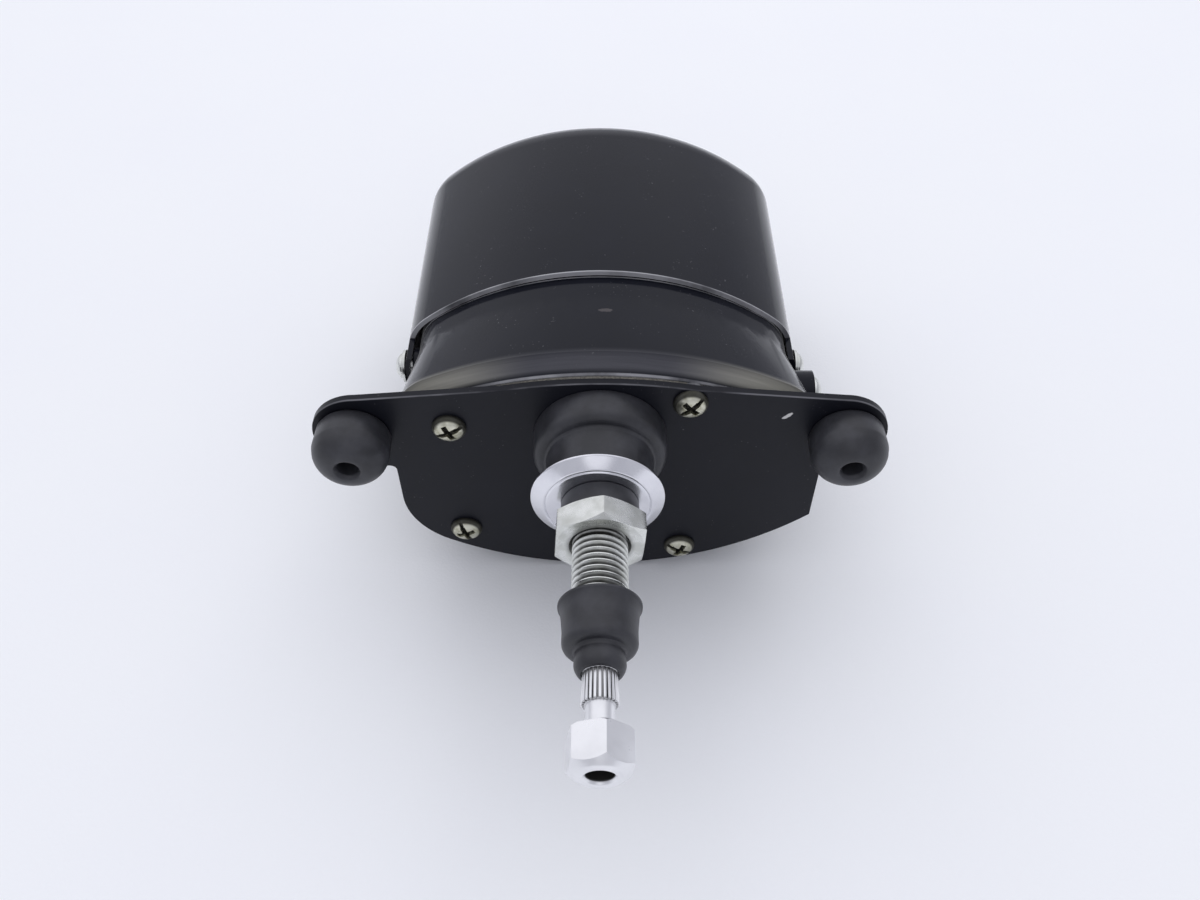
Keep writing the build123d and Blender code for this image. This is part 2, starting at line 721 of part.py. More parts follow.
pitch_line = -spindle_pitch_radius
rack_root = pitch_line - tooth_dedendum * drive_module
rack_foot = rack_root - rack_body
with BuildPart() as rack_slide:
    tooth_pitch = pi * drive_module
    tooth_half = tooth_pitch / 4 - backlash / 4
    tooth_tip = tooth_half - tooth_addendum * drive_module * tan(pressure_angle)
    tooth_base = tooth_half + tooth_dedendum * drive_module * tan(pressure_angle)
    with BuildSketch(across(rack_back)) as rack_face:
        with Locations((0, (rack_root + rack_foot) / 2)):
            Rectangle(2 * rack_half_length, rack_body)
        # the teeth stand either side of the gap that the spindle pinion's lowest tooth fills
        tooth_top = pitch_line + tooth_addendum * drive_module
        with GridLocations(tooth_pitch, 0, rack_teeth + 1, 1):
            Polygon((-tooth_base, rack_root), (tooth_base, rack_root), (tooth_tip, tooth_top),
                    (-tooth_tip, tooth_top), align=None)
        yoke_half = yoke_slot_half + yoke_wall
        yoke_foot = crank_height - yoke_slot_reach - yoke_wall
        with Locations((0, (rack_root + yoke_foot) / 2)):
            RectangleRounded(2 * yoke_half, rack_root - yoke_foot, yoke_wall / 2)
        with Locations((0, crank_height)):
            Rectangle(2 * yoke_slot_half, 2 * yoke_slot_reach, mode=Mode.SUBTRACT)
    extrude(amount=rack_thickness)
finish(rack_slide, "rack_slide")

with BuildPart() as rack_guides:
    guide_back = rack_back - slide_gap - guide_wall
    for guide_middle in (-guide_station, guide_station):
        with BuildSketch(across(guide_back)):
            with Locations((guide_middle, (rack_root + rack_foot) / 2)):
                Rectangle(guide_width, rack_body + 2 * (slide_gap + guide_wall))
        extrude(amount=plate_back - guide_back)
        with BuildSketch(across(rack_back - slide_gap)):
            with Locations((guide_middle, (rack_root + rack_foot) / 2)):
                Rectangle(guide_width, rack_body + 2 * slide_gap)
        extrude(amount=plate_back - rack_back + slide_gap, mode=Mode.SUBTRACT)
finish(rack_guides, "rack_guides")

idler_to_crank = atan2(crank_axis[1] - idler_axis[1], crank_axis[0] - idler_axis[0])
motor_to_idler = atan2(idler_axis[1] - motor_axis[1], idler_axis[0] - motor_axis[0])


def webbed(back, front, place, rim, hub, turn):
    """Thin a wheel to a web between hub and rim on its front face, and leave spokes."""
    with BuildSketch(across(front)) as pockets:
        with Locations(place):
            Circle(rim)
            Circle(hub, mode=Mode.SUBTRACT)
            with PolarLocations(rim, spoke_count, start_angle=turn):
                Rectangle(2 * rim, spoke_width, mode=Mode.SUBTRACT)
    extrude(pockets.sketch, amount=back + wheel_web - front, mode=Mode.SUBTRACT)


with BuildPart() as crank_wheel:
    crank_pitch_radius = drive_module * crank_teeth / 2
    gear(crank_back, crank_front, crank_axis, crank_teeth, drive_module, -drive_shift,
         idler_to_crank + pi + pi / crank_teeth, flank_steps=1)
    webbed(crank_back, crank_front, crank_axis, crank_pitch_radius - wheel_rim - drive_module, wheel_hub, 0)
    disc(crank_back, crank_front, axle_radius + running, crank_axis, mode=Mode.SUBTRACT)
    disc(crank_front - clip_recess, crank_front, clip_recess_radius, crank_axis, mode=Mode.SUBTRACT)
    disc(crank_back, crank_front, crank_pin_radius + seat_gap, (0, crank_height + crank_throw),
         mode=Mode.SUBTRACT)
finish(crank_wheel, "crank_wheel")

with BuildPart() as crank_pin:
    pin_place = (0, crank_height + crank_throw)
    disc(crank_back, crank_front, crank_pin_radius, pin_place)
    disc(crank_front, rack_front, crank_head_radius, pin_place)
    chamfer(crank_pin.edges().group_by(Axis.Y)[0], crank_head_bevel)
finish(crank_pin, "crank_pin")

with BuildPart() as crank_axle:
    disc(case_back, crank_front - end_float, axle_radius, crank_axis)
finish(crank_axle, "crank_axle")

with BuildPart() as idler_wheel:
    idler_pitch_radius = motor_module * idler_teeth / 2
    idler_pinion_root = drive_module * (idler_pinion_teeth / 2 + drive_shift - tooth_dedendum)
    gear(idler_back, idler_front, idler_axis, idler_teeth, motor_module, -motor_shift,
         motor_to_idler + pi + pi / idler_teeth, flank_steps=1)
    webbed(idler_back, idler_front, idler_axis, idler_pitch_radius - wheel_rim - motor_module,
           idler_pinion_root + wheel_rim, 0)
    disc(idler_back, idler_front, idler_pinion_root + seat_gap, idler_axis, mode=Mode.SUBTRACT)
finish(idler_wheel, "idler_wheel")

with BuildPart() as idler_pinion:
    disc(idler_back, idler_front, idler_pinion_root, idler_axis)
    gear(idler_front, crank_front, idler_axis, idler_pinion_teeth, drive_module, drive_shift, idler_to_crank)
    disc(idler_back, crank_front, axle_radius + running, idler_axis, mode=Mode.SUBTRACT)
finish(idler_pinion, "idler_pinion")

clip_seat = crank_front + end_float
with BuildPart() as idler_axle:
    disc(case_back, clip_seat + axle_nose, axle_radius, idler_axis)
finish(idler_axle, "idler_axle")

with BuildPart() as axle_clips:
    for seat, place in ((crank_front - clip_recess + end_float, crank_axis), (clip_seat, idler_axis)):
        open_clip(seat, seat + clip_thickness, axle_clip_radius, axle_radius + seat_gap / 2, place)
finish(axle_clips, "axle_clips")

# ================================================================ motor: armature
with BuildPart() as armature_shaft:
    motor_pinion_front = idler_front + pinion_overlap
    motor_pinion_back = idler_back - pinion_overlap
    gear(motor_pinion_back, motor_pinion_front, motor_axis, motor_pinion_teeth, motor_module, motor_shift,
         motor_to_idler)
    disc(shoulder_front, motor_pinion_back, journal_radius, motor_axis)
    disc(shoulder_back, shoulder_front, shaft_radius, motor_axis)
    disc(rear_bearing_back - axle_nose, shoulder_back, journal_radius, motor_axis)
    chamfer(armature_shaft.edges().group_by(Axis.Y)[-1], shaft_bevel)
finish(armature_shaft, "armature_shaft")


def armature_slots(inset):
    """Trapezoid slots of the armature, shrunk by an inset."""
    with BuildSketch(across(core_back)) as slots:
        with Locations(motor_axis):
            with PolarLocations(0, slot_count):
                Polygon((slot_root + inset, slot_floor / 2 - inset),
                        (slot_tip - inset, slot_shoulder / 2 - inset),
                        (slot_tip - inset, inset - slot_shoulder / 2),
                        (slot_root + inset, inset - slot_floor / 2), align=None)
    return slots.sketch


with BuildPart() as armature_core:
    disc(core_back, core_front, armature_radius, motor_axis)
    with BuildSketch(across(core_back)):
        add(armature_slots(0.0))
        with Locations(motor_axis):
            with PolarLocations(armature_radius, slot_count):
                Rectangle(2 * (armature_radius - slot_tip) + insulation, slot_mouth)
    extrude(amount=armature_length, mode=Mode.SUBTRACT)
    disc(core_back, core_front, shaft_radius + seat_gap, motor_axis, mode=Mode.SUBTRACT)
finish(armature_core, "armature_core")

with BuildPart() as windings:
    extrude(armature_slots(insulation), amount=armature_length)
    for core_face, away in ((core_front, 1), (core_back, -1)):
        bulge = core_face + away * winding_overhang / 2
        end = core_face + away * winding_overhang
        turned(((slot_root + insulation, core_face), (slot_tip - insulation, core_face),
                (slot_tip - insulation, bulge), (slot_tip - winding_bevel, end),
                (slot_root + winding_bevel, end), (slot_root + insulation, bulge)), motor_axis)
finish(windings, "windings")

with BuildPart() as commutator:
    commutator_front = shoulder_front - end_float
    commutator_back = commutator_front - commutator_length
    disc(commutator_back, commutator_front, commutator_radius, motor_axis)
    disc(commutator_back, commutator_back + riser_length, riser_radius, motor_axis)
    with BuildSketch(across(commutator_back)):
        with Locations(motor_axis):
            with PolarLocations(commutator_radius, slot_count):
                Rectangle(2 * commutator_cut_depth, commutator_cut)
    extrude(amount=commutator_length, mode=Mode.SUBTRACT)
    disc(commutator_back, commutator_front, shaft_radius + seat_gap, motor_axis, mode=Mode.SUBTRACT)
finish(commutator, "commutator")

with BuildPart() as armature_washers:
    for face in (bearing_back - end_float - washer_thickness, yoke_back + end_float):
        disc(face, face + washer_thickness, bearing_radius, motor_axis)
        disc(face, face + washer_thickness, journal_radius + seat_gap, motor_axis, mode=Mode.SUBTRACT)
finish(armature_washers, "armature_washers")

# ================================================================ motor: frame
for name, back, front in (("front_bearing", bearing_back, bearing_front),
                          ("rear_bearing", rear_bearing_back, yoke_back)):
    with BuildPart() as bearing:
        disc(back, front, bearing_radius, motor_axis)
        disc(back, front, journal_radius + running, motor_axis, mode=Mode.SUBTRACT)
    finish(bearing, name)

with BuildPart() as yoke_ring:
    disc(yoke_back, case_back, yoke_radius, motor_axis)
    disc(yoke_back, case_back, yoke_radius - yoke_thickness, motor_axis, mode=Mode.SUBTRACT)
finish(yoke_ring, "yoke_ring")

with BuildPart() as end_plate:
    with BuildSketch(across(end_plate_back)):
        with Locations(motor_axis):
            Circle(yoke_radius)
            SlotCenterToCenter(tie_bolt_spacing, 2 * tie_pad_radius)
        with Locations(*tie_bolt_points):
            Circle(tie_bolt_radius + seat_gap, mode=Mode.SUBTRACT)
    extrude(amount=end_plate_thickness)
    disc(rear_bearing_back, yoke_back, hub_radius, motor_axis)
    disc(rear_bearing_back, yoke_back, bearing_radius + seat_gap, motor_axis, mode=Mode.SUBTRACT)
finish(end_plate, "end_plate")

with BuildPart() as tie_bolts:
    disc(end_plate_back - tie_bolt_rise, end_plate_back, tie_bolt_head, *tie_bolt_points)
    disc(end_plate_back, case_floor + tie_reach, tie_bolt_radius, *tie_bolt_points)
finish(tie_bolts, "tie_bolts")

magnet_outer = yoke_radius - yoke_thickness - seat_gap
magnet_inner = armature_radius + magnet_gap
magnet_front = armature_middle + magnet_length / 2


def ring_sector(outer, inner, middle_angle, span):
    """Slice of a ring about the motor axis."""
    rays = [radians(middle_angle + turn * span / 2) for turn in (-1, 0, 1)]
    far, near = ([(motor_axis[0] + radius * cos(ray), motor_axis[1] + radius * sin(ray)) for ray in rays]
                 for radius in (outer, inner))
    with BuildSketch(mode=Mode.PRIVATE) as sector:
        with BuildLine():
            ThreePointArc(*far)
            Line(far[2], near[2])
            ThreePointArc(*near)
            Line(near[0], far[0])
        make_face()
    return sector.sketch


with BuildPart() as magnets:
    with BuildSketch(across(magnet_front - magnet_length)):
        for pole_angle in (0, 180):
            add(ring_sector(magnet_outer, magnet_inner, pole_angle, magnet_span))
    extrude(amount=magnet_length)
finish(magnets, "magnets")

with BuildPart() as magnet_clips:
    pole_gap = 180 - magnet_span
    leg_span = degrees(clip_strip / magnet_outer)
    free_span = pole_gap - 2 * degrees(magnet_clearance / magnet_outer)
    with BuildSketch(across(magnet_front - magnet_length)):
        for gap_angle in (90, 270):
            add(ring_sector(magnet_outer, magnet_outer - clip_strip, gap_angle, free_span))
            for leg in (-1, 1):
                leg_angle = gap_angle + leg * (free_span - leg_span) / 2
                add(ring_sector(magnet_outer, magnet_inner + clip_strip, leg_angle, leg_span))
    extrude(amount=magnet_length)
finish(magnet_clips, "magnet_clips")

# ================================================================ motor: brush gear
brush_middle = brush_plate_back - brush_wall - brush_width / 2
brush_face = commutator_radius + running
with BuildPart() as brush_plate:
    disc(brush_plate_back, brush_plate_front, brush_plate_radius, motor_axis)
    disc(brush_plate_back, brush_plate_front, brush_plate_hole, motor_axis, mode=Mode.SUBTRACT)
finish(brush_plate, "brush_plate")


def radial_box(side, near, far, width, height, mode=Mode.ADD):
    """Box along X on one side of the motor axis, centred on the brush track."""
    with BuildSketch(flank(side, near)) as profile:
        with Locations((-side * brush_middle, motor_height)):
            Rectangle(width, height)
    extrude(profile.sketch, amount=far - near, mode=mode)


with BuildPart() as brush_holders:
    holder_far = holder_near + brush_holder_length
    for side in (-1, 1):
        radial_box(side, holder_near, holder_far, brush_width + 2 * brush_wall, brush_height + 2 * brush_wall)
        radial_box(side, holder_near, holder_far - brush_wall, brush_width + 2 * seat_gap,
                   brush_height + 2 * seat_gap, mode=Mode.SUBTRACT)
finish(brush_holders, "brush_holders")

with BuildPart() as brushes:
    for side in (-1, 1):
        radial_box(side, commutator_radius / 2, commutator_radius + brush_length, brush_width, brush_height)
    disc(commutator_back, brush_plate_back, brush_face, motor_axis, mode=Mode.SUBTRACT)
finish(brushes, "brushes")

with BuildPart() as brush_springs:
    brush_tail = commutator_radius + brush_length
    for side in (-1, 1):
        flank_disc(side, brush_tail, holder_far - brush_wall, brush_spring_radius, brush_middle, motor_height)
        flank_disc(side, brush_tail, holder_far - brush_wall, brush_spring_radius - brush_spring_wall,
                   brush_middle, motor_height, mode=Mode.SUBTRACT)
finish(brush_springs, "brush_springs")

# ================================================================ lead outlet
with BuildPart() as lead_grommet:
    disc(can_back - grommet_lip, can_back, grommet_radius, grommet_place)
    disc(can_back, can_back + can_wall, grommet_neck, grommet_place)
    disc(can_back + can_wall, can_back + can_wall + grommet_lip, grommet_radius, grommet_place)
    disc(can_back - grommet_lip, can_back + can_wall + grommet_lip, grommet_bore, grommet_place,
         mode=Mode.SUBTRACT)
finish(lead_grommet, "lead_grommet")
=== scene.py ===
# %% [markdown]
# # A wiper motor, dressed
# The CAD model fixes where each part of the motor sits and how it moves. This lesson gives the parts the
# finish of the real ones, and models again the parts that the eye rests on: the threaded sleeve, the nuts,
# the rubber pieces, the screws and the edges of the sheet metal.
#
# The spindle runs along Y and points to -Y. A *station* is a distance in millimetres forward of the front
# face of the mounting plate, so a part behind that face has a negative one.

# %% Load the frame
import bmesh
import bpy
import json
from math import cos, degrees, pi, radians, sin, sqrt
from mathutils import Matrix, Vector


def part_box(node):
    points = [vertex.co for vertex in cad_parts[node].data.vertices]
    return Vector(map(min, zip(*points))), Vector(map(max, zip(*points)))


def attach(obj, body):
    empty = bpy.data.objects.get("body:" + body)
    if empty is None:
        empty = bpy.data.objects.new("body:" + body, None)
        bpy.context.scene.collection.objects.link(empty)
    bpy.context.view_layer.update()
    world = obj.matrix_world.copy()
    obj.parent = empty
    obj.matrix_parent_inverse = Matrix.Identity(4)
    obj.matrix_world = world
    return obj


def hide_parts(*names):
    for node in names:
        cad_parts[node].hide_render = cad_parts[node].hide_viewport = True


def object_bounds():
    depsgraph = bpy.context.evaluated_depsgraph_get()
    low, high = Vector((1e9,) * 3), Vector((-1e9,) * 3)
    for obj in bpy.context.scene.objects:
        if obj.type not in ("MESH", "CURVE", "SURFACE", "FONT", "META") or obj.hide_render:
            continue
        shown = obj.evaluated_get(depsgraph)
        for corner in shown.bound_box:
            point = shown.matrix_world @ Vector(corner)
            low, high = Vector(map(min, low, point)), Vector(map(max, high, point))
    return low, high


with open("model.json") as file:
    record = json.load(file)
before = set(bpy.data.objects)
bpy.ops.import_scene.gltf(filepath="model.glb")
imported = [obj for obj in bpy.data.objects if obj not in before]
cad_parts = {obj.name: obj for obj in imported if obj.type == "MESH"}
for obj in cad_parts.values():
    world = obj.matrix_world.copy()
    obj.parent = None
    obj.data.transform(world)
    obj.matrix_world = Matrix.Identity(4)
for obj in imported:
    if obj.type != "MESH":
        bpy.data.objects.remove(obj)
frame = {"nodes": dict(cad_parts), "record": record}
cad_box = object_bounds()
MM = 0.001

# %% [markdown]
# ## The camera
# The real motor is seen from above its spindle, looking down at about 49 degrees, through a lens of normal
# width. The camera comes first, because every later choice is judged through it.

# %% Camera
CAMERA_PLACE = (0, -0.1636, 0.182)
CAMERA_TILT = 41.2
LENS, SENSOR = 31.5, 36
NEAREST = 0.01

bpy.ops.object.camera_add(location=CAMERA_PLACE, rotation=(radians(CAMERA_TILT), 0, 0))
camera = bpy.context.object
camera.data.lens = LENS
camera.data.sensor_width = SENSOR
camera.data.clip_start = NEAREST
bpy.context.scene.camera = camera
print("camera looks down", round(90 - degrees(camera.rotation_euler.x), 1), "degrees")

# %% [markdown]
# ## Materials as sums
# A procedural material is arithmetic on patterns: a noise, stretched, cut off and added to another. Placing
# every Math node by hand hides that arithmetic, so a small class lets Python's own operators add the nodes.

# %% A socket that takes part in sums
class Wire:
    """The output of a node. Adding to it, multiplying it or dropping its sign adds a Math node."""

    def __init__(self, finish, socket):
        self.finish = finish
        self.socket = socket

    def combined(self, operation, *values):
        return self.finish.node("ShaderNodeMath", {"operation": operation}, dict(enumerate(values)))

    def __add__(self, other):
        return self.combined("ADD", self, other)

    def __mul__(self, other):
        return self.combined("MULTIPLY", self, other)

    def __abs__(self):
        return self.combined("ABSOLUTE", self)

    __radd__ = __add__
    __rmul__ = __mul__


# %% A material under construction
class Finish:
    """One material, or the world. node() makes every node, and the others name the patterns used often."""

    def __init__(self, owner, shader="Principled BSDF", coordinates="Object"):
        owner.use_nodes = True
        self.owner = owner
        self.tree = owner.node_tree
        self.shader = self.tree.nodes[shader]
        self.place = self.node("ShaderNodeTexCoord", out=coordinates)

    def node(self, kind, settings=None, inputs=None, out=0):
        made = self.tree.nodes.new(kind)
        for setting, value in (settings or {}).items():
            setattr(made, setting, value)
        for socket, value in (inputs or {}).items():
            self.feed(made.inputs[socket], value)
        return Wire(self, made.outputs[out])

    def feed(self, socket, value):
        if isinstance(value, Wire):
            self.tree.links.new(value.socket, socket)
        else:
            socket.default_value = value

    def noise(self, size, detail=3.0, stretch=(1, 1, 1)):
        """Cloudy pattern from 0 to 1, with patches of about this size in millimetres."""
        along = self.node("ShaderNodeMapping", {}, {"Vector": self.place, "Scale": stretch})
        return self.node("ShaderNodeTexNoise", {},
                         {"Vector": along, "Scale": 1 / (size * MM), "Detail": detail})

    def band(self, value, low, high):
        """0 below low, 1 above high, and smooth between. With high below low it falls instead."""
        return self.node("ShaderNodeMapRange", {"interpolation_type": "SMOOTHSTEP"},
                         {"Value": value, "From Min": low, "From Max": high})

    def mix(self, share, low, high):
        """Colour that goes from low to high as the share goes from 0 to 1."""
        return self.node("ShaderNodeMix", {"data_type": "RGBA"}, {0: share, 6: low, 7: high}, out=2)

    def axis(self, letter):
        """One coordinate of the surface point, in millimetres."""
        return self.node("ShaderNodeSeparateXYZ", {}, {0: self.place}, out=letter) * (1 / MM)

    def station(self):
        """Station of the surface point: millimetres forward of the plate's front face."""
        return -1 * self.axis("Y")

    def off_spindle(self):
        """Distance of the surface point from the spindle's axis, in millimetres."""
        flat = self.node("ShaderNodeVectorMath", {"operation": "MULTIPLY"}, {0: self.place, 1: (1, 0, 1)})
        return self.node("ShaderNodeVectorMath", {"operation": "LENGTH"}, {0: flat}, out="Value") * (1 / MM)

    def spot(self, centre, turn, halves):
        """Ragged oval mark: its centre, its turn about Y in degrees and its half sizes, in millimetres."""
        away = self.node("ShaderNodeVectorMath", {"operation": "SUBTRACT"},
                         {0: self.place, 1: [MM * part for part in centre]})
        along = self.node("ShaderNodeVectorRotate", {"rotation_type": "Y_AXIS"},
                          {"Vector": away, "Angle": radians(turn)})
        shares = self.node("ShaderNodeVectorMath", {"operation": "MULTIPLY"},
                           {0: along, 1: [1 / (MM * half) for half in halves]})
        reach = self.node("ShaderNodeVectorMath", {"operation": "LENGTH"}, {0: shares}, out="Value")
        ragged = reach + 0.8 * self.noise(0.7, 2.0)
        return self.band(ragged, 1.5, 1.2)

    def bump(self, height, depth):
        """Surface relief of this depth in millimetres."""
        return self.node("ShaderNodeBump", {}, {"Height": height, "Distance": depth * MM})

    def wear(self, **sockets):
        """Set the shader's sockets, and return the material or the world."""
        for name, value in sockets.items():
            self.feed(self.shader.inputs[name.replace("_", " ")], value)
        return self.owner


def rgb(red, green, blue):
    return (red, green, blue, 1.0)


def brighter(colour, share):
    return rgb(*(share * part for part in colour[:3]))


finishes = {}


# %% [markdown]
# ## Painted sheet metal
# The paint is nearly black, but it isn't even: it has the fine orange peel of sprayed enamel, dust that dried
# in it, and bare metal where an edge was knocked. The worn edges of the case's flange and of the plate's top
# also carry a painted highlight, and the case's shoulder a painted sheen. Each such mark is a mask from 0 to
# 1 with its own colour, laid over the paint one after another. A dark paint shows mostly what it mirrors, so
# its gloss is kept low.
# The film is fine dust, which shows most where the surface is seen edge on.

# %% Enamel
DRIED_DUST = rgb(0.20, 0.20, 0.21)
FILM_SPREAD = 0.3


def enamel(slot, colour, roughness, gloss, film, marks):
    paint = Finish(bpy.data.materials.new(slot))
    peel = paint.noise(0.9, 2.0)
    cloud = paint.noise(14.0, 4.0)
    speck = paint.band(paint.noise(0.5, 0.0), 0.76, 0.80)
    swarm = paint.band(paint.noise(6.0, 2.0), 0.52, 0.70)
    tone = paint.mix(cloud, colour, brighter(colour, 1.7))
    tone = paint.mix(0.4 * (speck * swarm), tone, DRIED_DUST)
    marked = 0.0
    for mark in marks:
        share, shade = mark(paint)
        tone = paint.mix(share, tone, shade)
        marked = marked + share
    finishes[slot] = paint.wear(Base_Color=tone, Roughness=roughness + 0.08 * cloud + 0.25 * marked,
                                Specular_IOR_Level=gloss, Sheen_Weight=film, Sheen_Roughness=FILM_SPREAD,
                                Normal=paint.bump(peel + marked, 0.010))


# %% Marks on the paint
# The thin dust colour also stands for a painted sheen on the case's shoulder.
THIN_DUST_AND_SHEEN, THICK_DUST = rgb(0.085, 0.085, 0.097), rgb(0.38, 0.37, 0.32)
# The flange and plate colours are worn paint that also carries a painted highlight.
FLANGE_WEAR_AND_HIGHLIGHT, RUBBED_RIM, PLATE_WEAR_AND_HIGHLIGHT = rgb(0.36, 0.36, 0.38), rgb(0.45, 0.45, 0.47), rgb(0.20, 0.20, 0.22)
SCRATCHED, PRIMER = rgb(0.17, 0.15, 0.15), rgb(0.62, 0.61, 0.60)


# Each mark returns its mask and its colour. Y grows towards the back, from 0 at the plate's front face.
def shoulder_sheen_and_dust(paint):
    """Painted sheen on a thin film of dust on the case's slanted shoulder, behind the plate; thick dust at
    its two ends.
    """
    behind = paint.axis("Y")
    foot = paint.band(behind, 3.1, 4.2)
    fade = paint.band(behind, 8.2, 5.0)
    upper_half = paint.band(paint.axis("Z"), 0, 8)
    ends = paint.band(abs(paint.axis("X")), 14, 42)
    streak = 0.55 + 0.45 * paint.noise(0.5, 4.0, (0.03, 1, 0.03))
    return foot * fade * upper_half * streak, paint.mix(ends, THIN_DUST_AND_SHEEN, THICK_DUST)


def flange_wear_and_highlight(paint):
    """Worn paint with a painted highlight on the front edge of the case, just behind the gasket, strongest in
    the middle.
    """
    edge = paint.band(paint.axis("Y"), 3.30, 3.10)
    middle = paint.band(abs(paint.axis("X")), 40, 20)
    patchy = paint.band(paint.noise(14.0, 5.0, (1, 0.1, 1)), 0.25, 0.60)
    return 0.8 * (edge * middle) * patchy, FLANGE_WEAR_AND_HIGHLIGHT


def rim_rub(paint):
    """Bright rub on the cover's rim."""
    behind = paint.axis("Y")
    edge = paint.band(behind, 32.9, 33.0) * paint.band(behind, 33.45, 33.3)
    patchy = paint.band(paint.noise(18.0, 5.0), 0.25, 0.58)
    return 0.8 * edge * patchy, RUBBED_RIM


def case_scratch(paint):
    """Short scratch on top of the case, a little in front of the cover."""
    scratch = paint.spot(centre=(1.3, 20.9, 20.4), turn=0, halves=(1.7, 0.6, 1.0))
    return 0.35 * scratch, SCRATCHED


def plate_chip(paint):
    """Chip in the plate's paint, down to the primer."""
    chip = paint.spot(centre=(42.8, 0.0, 6.9), turn=42, halves=(1.5, 1.0, 0.5))
    return chip, PRIMER


def plate_wear_and_highlight(paint):
    """Painted highlight on the upward-facing bevel of the plate's front edge, with wear where the paint is
    thin.
    """
    normal = paint.node("ShaderNodeTexCoord", out="Normal")
    upward = paint.node("ShaderNodeSeparateXYZ", {}, {0: normal}, out="Z")
    edge = paint.band(upward, 0.25, 0.5) * paint.band(paint.axis("Y"), 0.5, 0.35)
    patchy = paint.band(paint.noise(20.0, 5.0), 0.34, 0.66)
    return 0.6 * edge * patchy, PLATE_WEAR_AND_HIGHLIGHT


# %% [markdown]
# ## Plated and bare metal
# Zinc plating has soft stains and fine lines from the draw bench. The grooves of the thread, the gaps between
# the ridges of the knurl and the slots of the screws are darkened: dirt that stays where nothing wipes it,
# and painted shade where little light reaches. All three are found by their distance from the spindle's axis
# and by their station.

# %% Metal
# Dark colour for dirt and for painted shade in grooves, slots and bores.
DIRT_AND_SHADE_COLOUR = rgb(0.035, 0.034, 0.030)


def metal(slot, bright, dull, roughness, stain=6.0, grain=(1, 1, 1), scratch=0.004, dirt_and_shade_mask=None):
    plate = Finish(bpy.data.materials.new(slot))
    patch = plate.noise(stain, 4.0)
    line = plate.noise(0.35, 3.0, grain)
    tone = plate.mix(plate.band(patch, 0.35, 0.75), bright, dull)
    dirt_and_shade = 0.0
    # The mask darkens hollows with dirt and with painted shade.
    if dirt_and_shade_mask:
        dirt_and_shade = dirt_and_shade_mask(plate)
        tone = plate.mix(dirt_and_shade, tone, DIRT_AND_SHADE_COLOUR)
    finishes[slot] = plate.wear(Base_Color=tone, Metallic=1.0,
                                Roughness=roughness + 0.12 * patch + 0.08 * line + 0.3 * dirt_and_shade,
                                Normal=plate.bump(line, scratch))


def thread_dirt_and_shade(plate):
    """Dirt and painted shade in the grooves of the thread, and painted shade with dirt round it on the nut's
    face.
    """
    station = plate.station()
    run = plate.band(station, 26.0, 31.0) * plate.band(station, 53.0, 52.0)
    groove = plate.band(plate.off_spindle(), 5.95, 5.35)
    nut_front = plate.band(station, 30.6, 31.2) * plate.band(station, 32.3, 31.9)
    collar = plate.band(plate.off_spindle(), 7.9, 6.3)
    patchy = 0.55 + 0.45 * plate.noise(1.4, 3.0)
    return (run * groove + 0.7 * (nut_front * collar)) * patchy


def knurl_dirt_and_shade(plate):
    """Dirt and painted shade between the ridges of the knurl, and painted shade deep in the bore of the arm's
    nut.
    """
    station = plate.station()
    run = plate.band(station, 61.0, 62.0) * plate.band(station, 69.2, 68.4)
    groove = plate.band(plate.off_spindle(), 3.60, 3.38)
    nut_inside = plate.band(station, 82.9, 82.2) * plate.band(station, 78.6, 79.0)
    bore = plate.band(plate.off_spindle(), 3.0, 2.9)
    return 0.65 * run * groove + 0.95 * (nut_inside * bore)


def slot_dirt_and_shade(plate):
    """Dirt and painted shade in the slots of the plate screws, whose heads end 2.4 mm in front of the plate.
    """
    station = plate.station()
    floor_of_slot = plate.band(station, 1.75, 1.35)
    screws = plate.band(plate.off_spindle(), 15.0, 16.0)
    return floor_of_slot * screws * 0.9


# %% [markdown]
# ## Rubber and the materials inside
# Moulded rubber is matt but not dull: it has a soft sheen along its upper side, and a bloom of paler patches.
# The parts inside the housing get plain but true finishes: sintered bronze, board, ferrite and laminated
# steel.

# %% Rubber
def rubber(slot, colour):
    skin = Finish(bpy.data.materials.new(slot))
    cloud = skin.noise(5.0, 4.0)
    pore = skin.noise(0.3, 2.0)
    tone = skin.mix(skin.band(cloud, 0.3, 0.8), colour, brighter(colour, 2.0))
    finishes[slot] = skin.wear(Base_Color=tone, Roughness=0.34 + 0.14 * cloud, Specular_IOR_Level=0.45,
                               Normal=skin.bump(pore, 0.03))


# %% Board, plastic and pressed powder
def matt(slot, light, dark, size, roughness, relief, stretch=(1, 1, 1), metallic=0.0):
    bulk = Finish(bpy.data.materials.new(slot))
    fleck = bulk.noise(size, 4.0, stretch)
    tone = bulk.mix(bulk.band(fleck, 0.35, 0.65), light, dark)
    finishes[slot] = bulk.wear(Base_Color=tone, Metallic=metallic, Roughness=roughness + 0.1 * fleck,
                               Normal=bulk.bump(fleck, relief))


